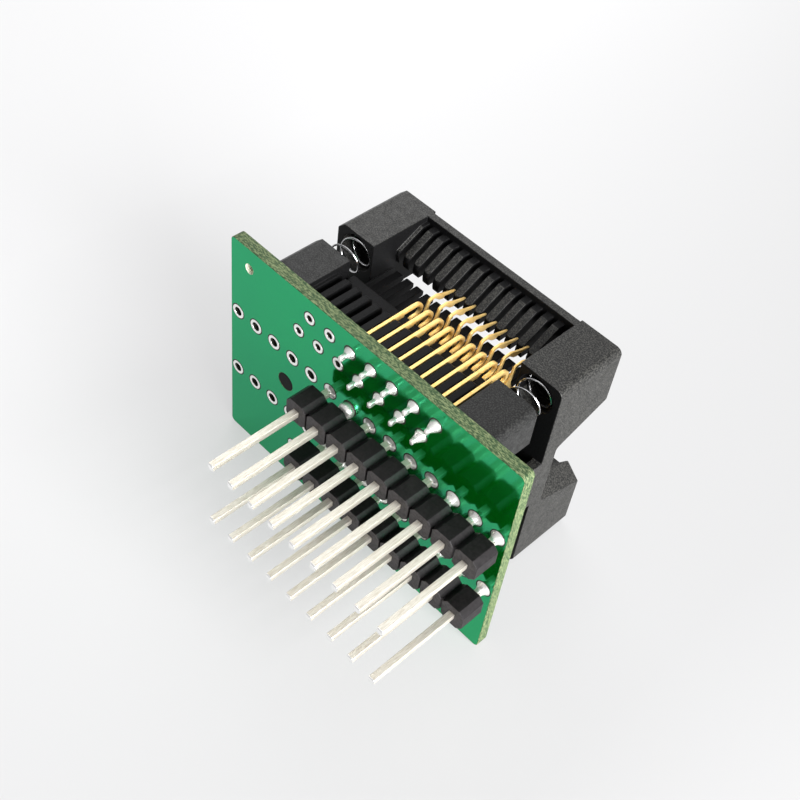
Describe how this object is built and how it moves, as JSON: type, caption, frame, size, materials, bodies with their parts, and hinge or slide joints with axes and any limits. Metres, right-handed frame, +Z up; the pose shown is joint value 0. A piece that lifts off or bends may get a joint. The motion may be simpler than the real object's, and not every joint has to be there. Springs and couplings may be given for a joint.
{
  "type": "ic programming adapter",
  "caption": "Chip programming adapter: a spring-loaded small-outline socket with a press-down cover, on a printed board with rows of header pins that plug into a wide socket.",
  "frame": {"origin": "centre of the bounding box at its base, which is the surface that the adapter lies on", "axes": "+X along the rows of pins, away from the flat corner of the socket; +Y from the pin tips towards the top of the socket; +Z up, across the rows, with the board on edge"},
  "size_m": [0.0353, 0.0304, 0.025],
  "materials": {
    "board": "green solder mask over glass-fibre board, with bare tan edges",
    "base_plastic": "black glass-filled moulding",
    "cover_plastic": "dark grey glass-filled moulding with a fine speckle",
    "strip_plastic": "black moulded header",
    "pin_tin": "tin-plated square wire",
    "contact_gold": "gold-plated stamping",
    "spring_steel": "bright spring wire"
  },
  "bodies": {
    "adapter": {"pcb": "board", "socket_base": "base_plastic", "header_strip_a": "strip_plastic", "header_strip_b": "strip_plastic", "header_pin_a1": "pin_tin", "header_pin_a2": "pin_tin", "header_pin_a3": "pin_tin", "header_pin_a4": "pin_tin", "header_pin_a5": "pin_tin", "header_pin_a6": "pin_tin", "header_pin_a7": "pin_tin", "header_pin_a8": "pin_tin", "header_pin_a9": "pin_tin", "header_pin_b1": "pin_tin", "header_pin_b2": "pin_tin", "header_pin_b3": "pin_tin", "header_pin_b4": "pin_tin", "header_pin_b5": "pin_tin", "header_pin_b6": "pin_tin", "header_pin_b7": "pin_tin", "header_pin_b8": "pin_tin", "header_pin_b9": "pin_tin", "contact_near_1": "contact_gold", "contact_near_2": "contact_gold", "contact_near_3": "contact_gold", "contact_near_4": "contact_gold", "contact_near_5": "contact_gold", "contact_near_6": "contact_gold", "contact_near_7": "contact_gold", "contact_near_8": "contact_gold", "contact_near_9": "contact_gold", "contact_far_1": "contact_gold", "contact_far_2": "contact_gold", "contact_far_3": "contact_gold", "contact_far_4": "contact_gold", "contact_far_5": "contact_gold", "contact_far_6": "contact_gold", "contact_far_7": "contact_gold", "contact_far_8": "contact_gold", "contact_far_9": "contact_gold", "spring_near_left": "spring_steel", "spring_near_right": "spring_steel", "spring_far_left": "spring_steel", "spring_far_right": "spring_steel"},
    "cover": {"cover": "cover_plastic"}
  },
  "joints": [
    {"name": "cover_press", "type": "slide", "parent": "adapter", "child": "cover", "axis": [0, -1, 0], "range_m": [0, 0.002], "stiffness_N_per_m": 2400, "springref_m": -0.0015, "deforming": ["spring_near_left", "spring_near_right", "spring_far_left", "spring_far_right"]}
  ]
}
